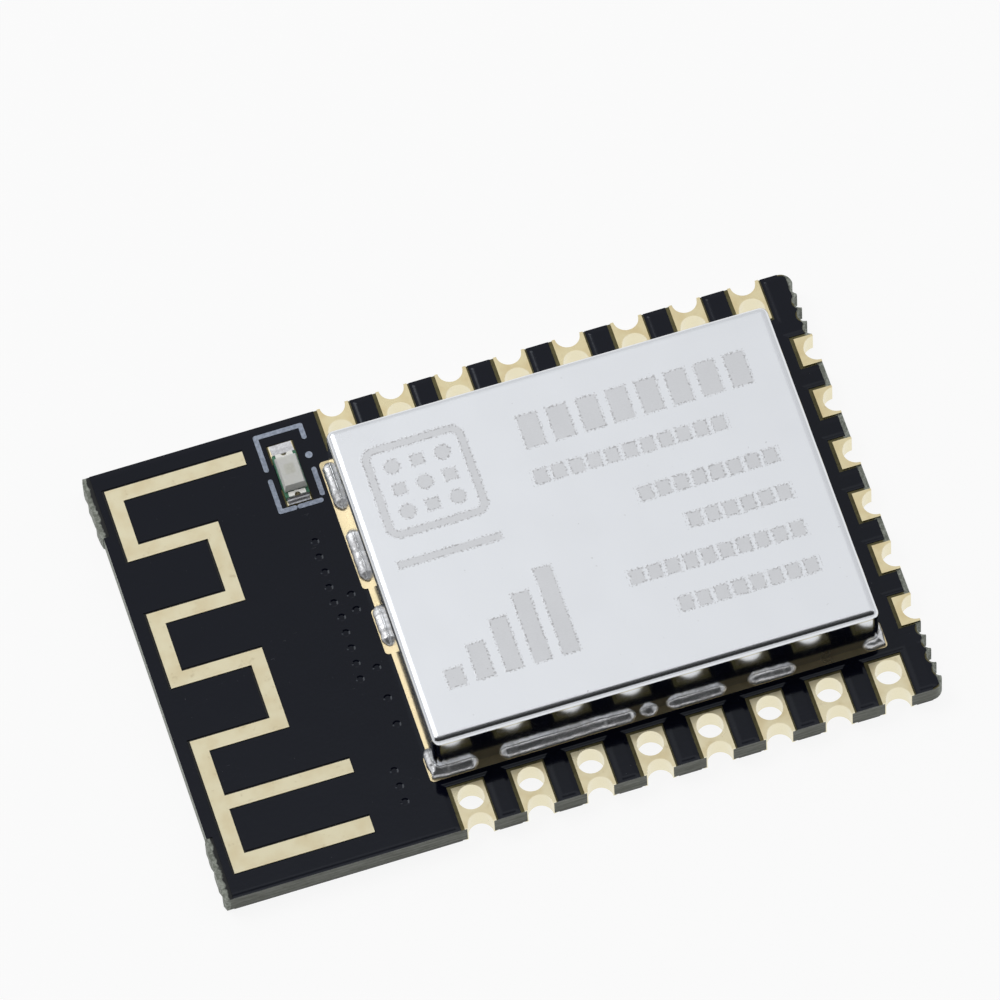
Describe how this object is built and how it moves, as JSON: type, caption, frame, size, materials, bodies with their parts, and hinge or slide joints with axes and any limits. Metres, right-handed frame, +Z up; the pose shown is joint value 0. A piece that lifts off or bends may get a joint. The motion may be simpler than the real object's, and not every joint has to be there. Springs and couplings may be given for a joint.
{
  "type": "wireless network module",
  "caption": "Small dark radio board with a gold meander antenna at one end, a soldered metal shield can and plated half-hole pads along three edges.",
  "frame": {"origin": "centre of the board's flat underside", "axes": "+X from the antenna end to the end with six pads, +Y to the back row of pads, +Z up out of the board's top"},
  "size_m": [0.0241, 0.016, 0.0028],
  "materials": {
    "laminate": "cut glass-fibre laminate, grey-green, slightly rough",
    "solder_mask": "dark navy solder mask, satin gloss",
    "gold_plate": "immersion gold over copper, pale and satin",
    "shield_sheet": "smooth bright nickel-silver sheet, softly reflecting",
    "solder": "solidified solder, bright grey with a fine grain",
    "print_ink": "pale blue-grey printed ink",
    "light_carrier": "green carrier laminate",
    "light_terminal": "tinned terminals",
    "light_lens": "milky moulded lens",
    "chip_mould": "black moulding compound",
    "chip_metal": "tinned leads and terminals",
    "crystal_ceramic": "pale ceramic",
    "crystal_metal": "plated lid",
    "chip_ceramic": "brown ceramic with tinned ends"
  },
  "bodies": {
    "root": {"laminate": "laminate", "top_solder_mask": "solder_mask", "bottom_solder_mask": "solder_mask", "antenna_trace": "gold_plate", "shield_land": "gold_plate", "shield_can": "shield_sheet", "light_lands": "gold_plate", "circuit_lands": "gold_plate", "board_print": "print_ink", "light_carrier": "light_carrier", "light_terminal_back": "light_terminal", "light_terminal_front": "light_terminal", "light_lens": "light_lens", "light_solder_back": "solder", "light_solder_front": "solder", "radio_chip": "chip_mould", "radio_terminals": "chip_metal", "flash_chip": "chip_mould", "flash_leads": "chip_metal", "crystal_base": "crystal_ceramic", "crystal_lid": "crystal_metal", "chip_part_1": "chip_ceramic", "chip_part_2": "chip_ceramic", "chip_part_3": "chip_ceramic", "chip_part_4": "chip_ceramic", "chip_part_5": "chip_ceramic", "chip_part_6": "chip_ceramic", "chip_part_7": "chip_ceramic", "shield_solder_1": "solder", "shield_solder_2": "solder", "shield_solder_3": "solder", "shield_solder_4": "solder", "shield_solder_5": "solder", "shield_solder_6": "solder", "shield_solder_7": "solder", "shield_solder_8": "solder", "shield_solder_9": "solder", "front_pad_1": "gold_plate", "back_pad_1": "gold_plate", "front_pad_2": "gold_plate", "back_pad_2": "gold_plate", "front_pad_3": "gold_plate", "back_pad_3": "gold_plate", "front_pad_4": "gold_plate", "back_pad_4": "gold_plate", "front_pad_5": "gold_plate", "back_pad_5": "gold_plate", "front_pad_6": "gold_plate", "back_pad_6": "gold_plate", "front_pad_7": "gold_plate", "back_pad_7": "gold_plate", "front_pad_8": "gold_plate", "back_pad_8": "gold_plate", "end_pad_1": "gold_plate", "end_pad_2": "gold_plate", "end_pad_3": "gold_plate", "end_pad_4": "gold_plate", "end_pad_5": "gold_plate", "end_pad_6": "gold_plate"}
  },
  "joints": []
}
